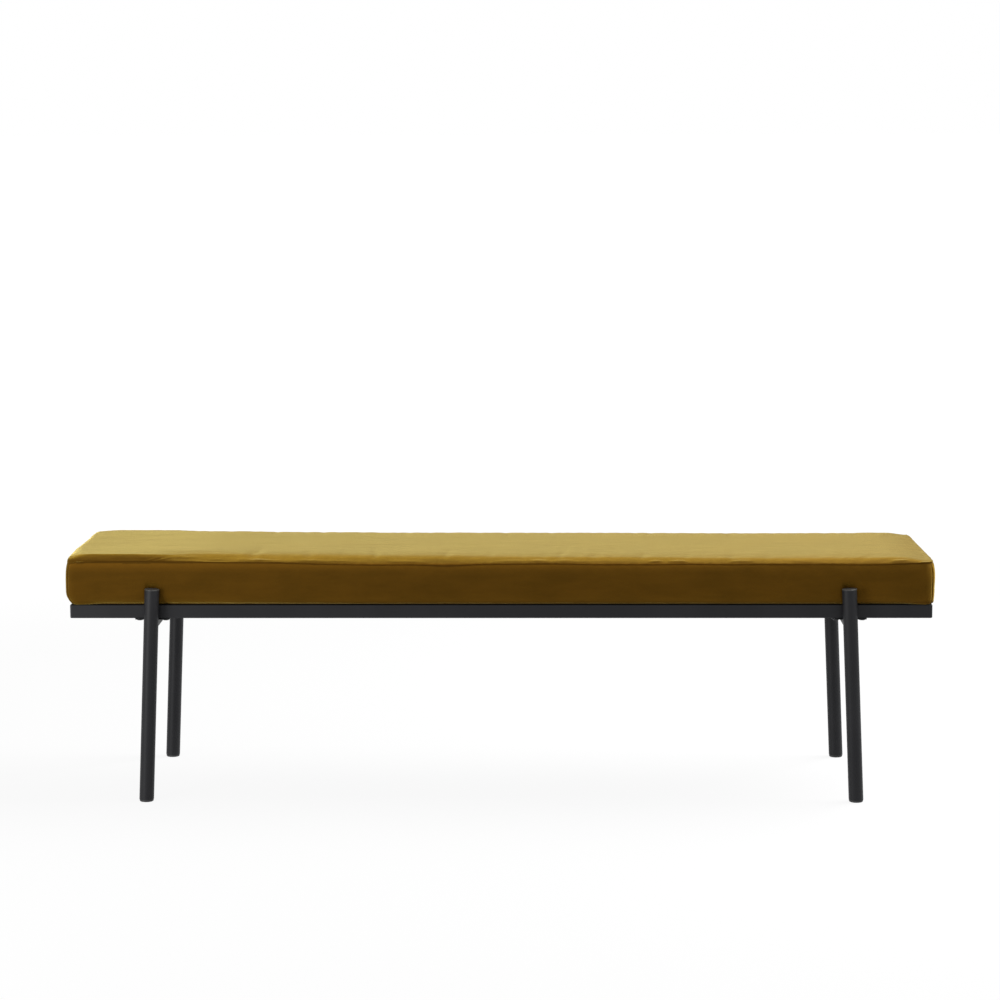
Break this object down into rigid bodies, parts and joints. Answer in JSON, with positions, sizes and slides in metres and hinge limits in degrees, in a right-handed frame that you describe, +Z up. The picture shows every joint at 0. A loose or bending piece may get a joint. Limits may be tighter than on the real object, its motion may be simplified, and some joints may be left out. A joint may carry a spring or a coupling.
{
  "type": "upholstered bench",
  "caption": "Long backless bench with a velvet box cushion on a slim square-tube frame and four leaning round-tube legs that rise beside the cushion.",
  "frame": {"origin": "on the floor, under the middle of the bench", "axes": "+X along the bench to the right, +Y from its front to its back, +Z up"},
  "size_m": [1.602, 0.404, 0.456],
  "materials": {
    "frame_steel": "fine-textured matt black powder coat",
    "cap_steel": "satin black powder coat",
    "glide_plastic": "moulded, matt",
    "bolt_steel": "black oxide",
    "zinc_steel": "bright zinc plate",
    "plywood": "bare, sanded",
    "foam": "cut foam",
    "wadding": "loose fibre",
    "dust_cloth": "black spunbond cloth",
    "velvet": "mustard velvet with a short pile"
  },
  "bodies": {
    "root": {"cover_back_panel": "velvet", "cover_front_panel": "velvet", "cover_left_panel": "velvet", "cover_right_panel": "velvet", "cover_top_panel": "velvet", "cross_rail_left": "frame_steel", "cross_rail_middle": "frame_steel", "cross_rail_right": "frame_steel", "dust_cover": "dust_cloth", "foam_core": "foam", "foot_glide_back_left": "glide_plastic", "foot_glide_back_right": "glide_plastic", "foot_glide_front_left": "glide_plastic", "foot_glide_front_right": "glide_plastic", "leg_back_left": "frame_steel", "leg_back_right": "frame_steel", "leg_bolts": "bolt_steel", "leg_cap_back_left": "cap_steel", "leg_cap_back_right": "cap_steel", "leg_cap_front_left": "cap_steel", "leg_cap_front_right": "cap_steel", "leg_crossbar_left": "frame_steel", "leg_crossbar_right": "frame_steel", "leg_front_left": "frame_steel", "leg_front_right": "frame_steel", "mounting_plate_back_left": "frame_steel", "mounting_plate_back_right": "frame_steel", "mounting_plate_front_left": "frame_steel", "mounting_plate_front_right": "frame_steel", "rail_back": "frame_steel", "rail_front": "frame_steel", "rail_left": "frame_steel", "rail_right": "frame_steel", "rivet_nuts": "zinc_steel", "seat_board": "plywood", "seat_bolts": "bolt_steel", "staples": "zinc_steel", "tee_nuts": "zinc_steel", "wadding": "wadding"}
  },
  "joints": []
}
